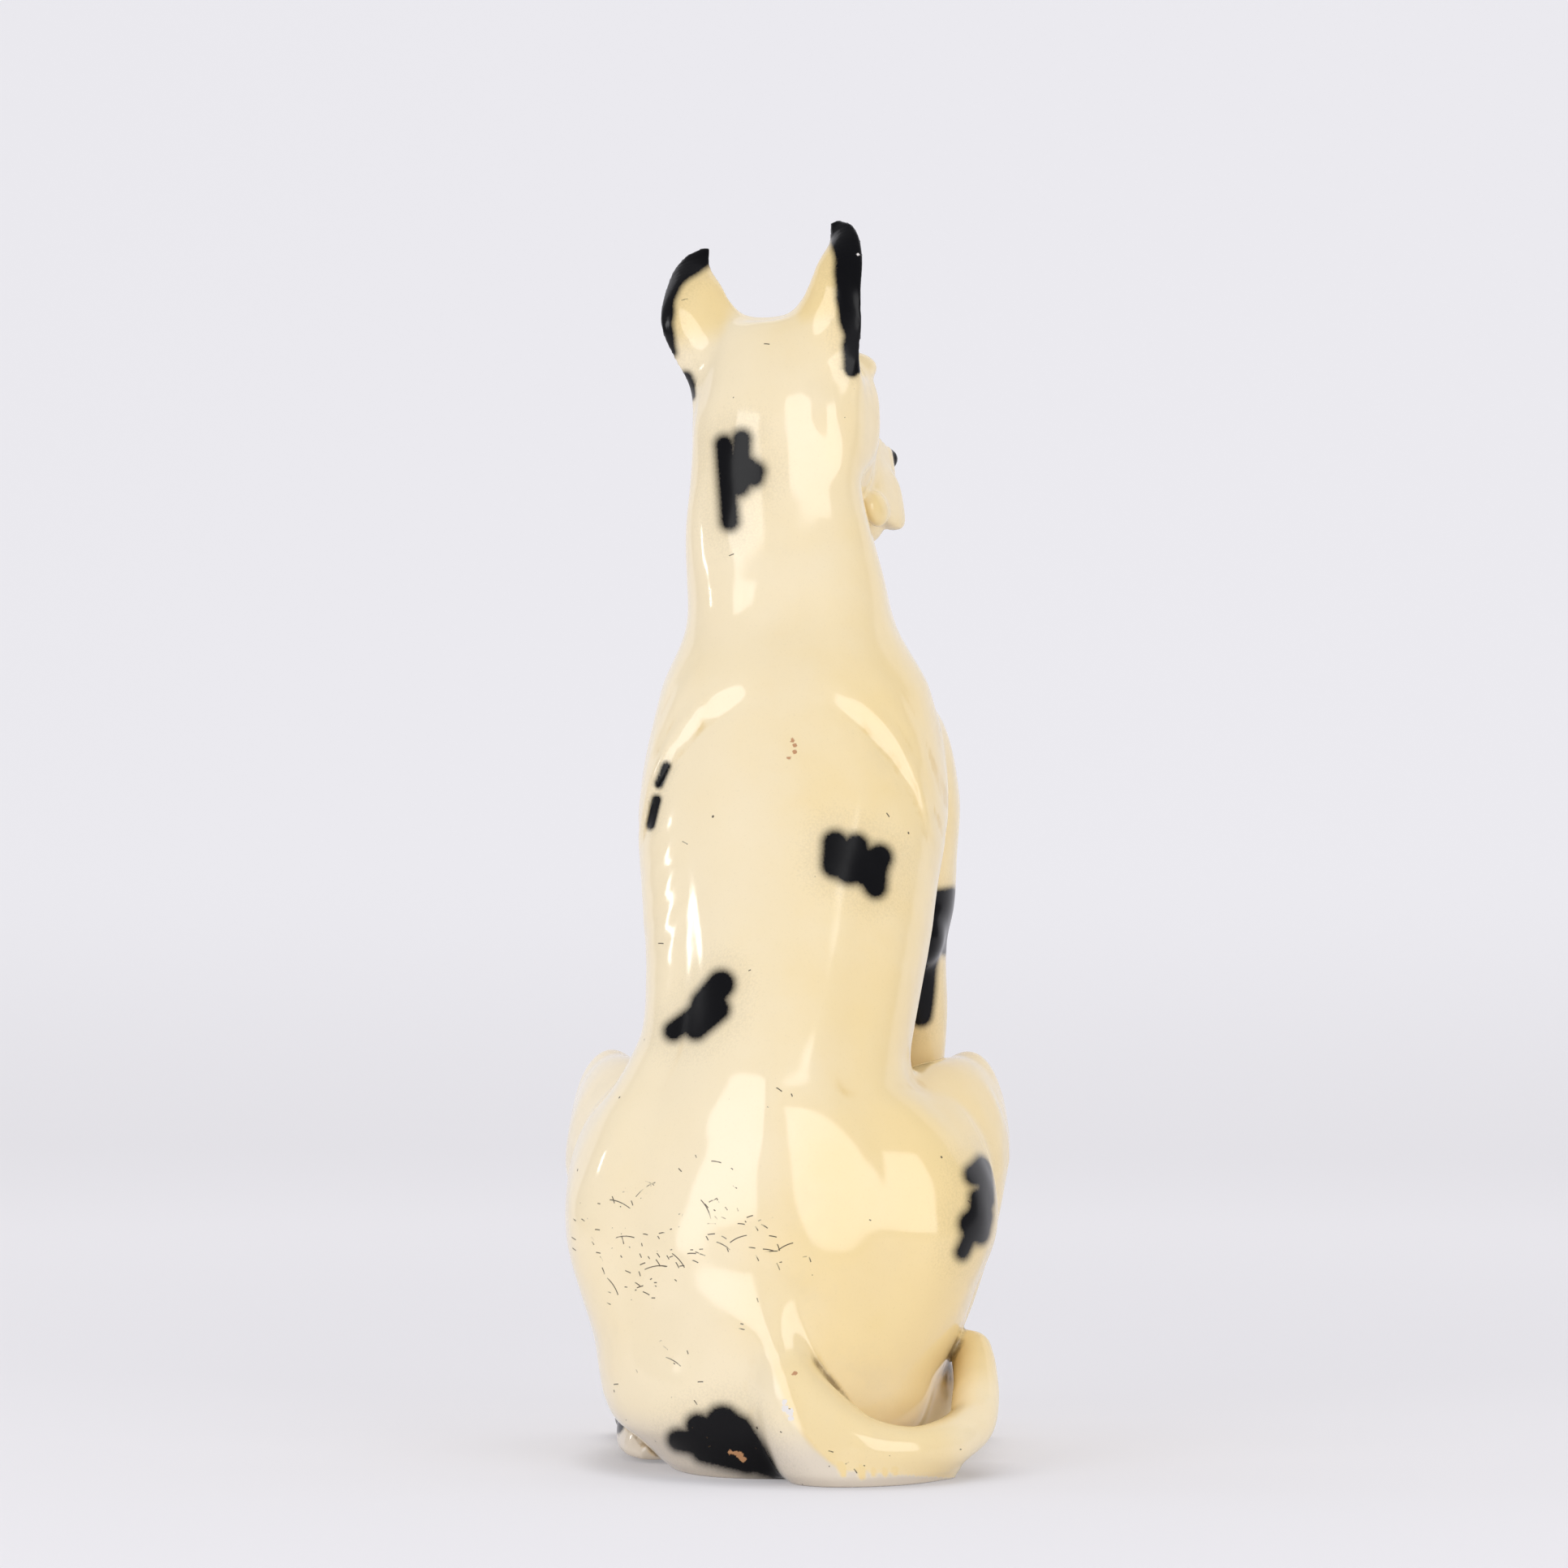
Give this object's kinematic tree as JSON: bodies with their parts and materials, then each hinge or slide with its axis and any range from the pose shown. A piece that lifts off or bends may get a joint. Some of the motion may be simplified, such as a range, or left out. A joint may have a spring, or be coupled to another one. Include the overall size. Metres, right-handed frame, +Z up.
{
  "type": "seated dog sculpture",
  "caption": "Seated great dane floor sculpture in glazed ceramic, cream with black harlequin spots, head turned to its right and tail curled round the haunch.",
  "frame": {"origin": "on the floor, on the base slab's underside below the belly, in the middle plane of the body", "axes": "+Z up; +Y the way the chest faces; +X the dog's right side"},
  "size_m": [0.3121, 0.4413, 0.8403],
  "materials": {
    "cream_glaze": "clear gloss glaze over cream slip, with airbrushed black spots",
    "bare_clay": "thinly glazed, worn at the rim",
    "black_glaze": "gloss"
  },
  "bodies": {
    "root": {"base_slab": "bare_clay", "chest": "cream_glaze", "head": "cream_glaze", "hindquarters": "cream_glaze", "left_ear": "cream_glaze", "left_eye": "black_glaze", "left_foreleg": "cream_glaze", "left_haunch": "cream_glaze", "left_hind_foot": "cream_glaze", "lower_jaw": "cream_glaze", "neck": "cream_glaze", "right_ear": "cream_glaze", "right_eye": "black_glaze", "right_foreleg": "cream_glaze", "right_haunch": "cream_glaze", "right_hind_foot": "cream_glaze", "tail": "cream_glaze"}
  },
  "joints": []
}
